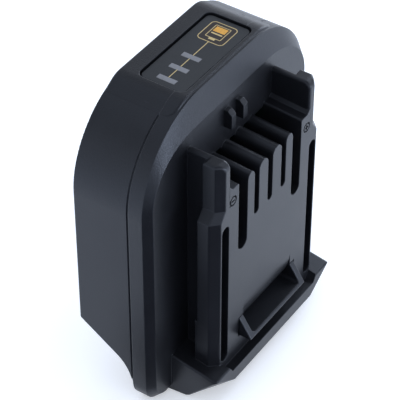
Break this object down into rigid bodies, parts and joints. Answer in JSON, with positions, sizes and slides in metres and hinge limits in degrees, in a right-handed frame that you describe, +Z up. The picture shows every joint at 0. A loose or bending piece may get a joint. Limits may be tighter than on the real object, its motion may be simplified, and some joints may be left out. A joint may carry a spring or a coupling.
{
  "type": "tool battery adapter",
  "caption": "Battery adapter for a cordless tool: a slide with terminal slots and a release latch on an arched body with a charge gauge on top and an open bay behind.",
  "frame": {"origin": "centre of the bounding box in plan, at its lowest level, under the foot of the front shell", "axes": "+Z up, from the latch end to the terminal end with the charge gauge; -Y out of the slide's face; +Y out of the donor battery bay; +X to the right seen from the slide's side"},
  "size_m": [0.0764, 0.0396, 0.094],
  "materials": {
    "housing_black": "moulded, finely spark-eroded",
    "panel_black": "moulded, fine matt",
    "light_guide_grey": "translucent moulded",
    "board_green": "solder-masked glass epoxy",
    "lamp_white": "moulded lens",
    "component_black": "moulded epoxy",
    "foam_grey": "closed-cell foam",
    "can_aluminium": "drawn can",
    "fuse_beige": "fired body",
    "contact_bronze": "stamped strip",
    "block_black": "moulded glass-filled",
    "blade_plated": "nickel-plated strip",
    "wire_red": "extruded insulation",
    "wire_black": "extruded insulation",
    "wire_yellow": "extruded insulation",
    "ribbon_white": "laminated ribbon",
    "latch_black": "moulded, satin",
    "spring_steel": "drawn wire",
    "screw_steel": "zinc-plated"
  },
  "bodies": {
    "root": {"front_housing": "housing_black", "back_housing": "housing_black", "gauge_board": "board_green", "gauge_leds": "lamp_white", "switch_body": "component_black", "panel_foams": "foam_grey", "main_board": "board_green", "control_chip": "component_black", "board_capacitor": "can_aluminium", "board_fuse": "fuse_beige", "positive_clip": "contact_bronze", "negative_clip": "contact_bronze", "signal_clips": "contact_bronze", "terminal_block": "block_black", "positive_blade": "blade_plated", "negative_blade": "blade_plated", "signal_blades": "blade_plated", "positive_wire": "wire_red", "negative_wire": "wire_black", "signal_wires": "wire_yellow", "gauge_ribbon": "ribbon_white", "latch_springs": "spring_steel", "latch_retainer": "block_black", "retainer_screws": "screw_steel", "board_screws": "screw_steel", "gauge_board_screws": "screw_steel", "housing_screws": "screw_steel"},
    "latch": {"release_latch": "latch_black"},
    "panel": {"gauge_panel": "panel_black", "light_guide": "light_guide_grey"},
    "plunger": {"switch_plunger": "component_black"}
  },
  "joints": [
    {"name": "latch_slide", "type": "slide", "parent": "root", "child": "latch", "axis": [0, 1, 0], "range_m": [0, 0.0042], "stiffness_N_per_m": 600, "springref_m": -0.004, "deforming": ["latch_springs"]},
    {"name": "panel_press", "type": "slide", "parent": "root", "child": "panel", "axis": [0, 0, -1], "range_m": [0, 0.0005], "stiffness_N_per_m": 800, "springref_m": -0.001, "deforming": ["panel_foams"]},
    {"name": "plunger_press", "type": "slide", "parent": "root", "child": "plunger", "axis": [0, 0, -1], "range_m": [0, 0.0005]}
  ],
  "couplings": [
    {"joint": "plunger_press", "follows": "panel_press", "ratio": 1}
  ]
}
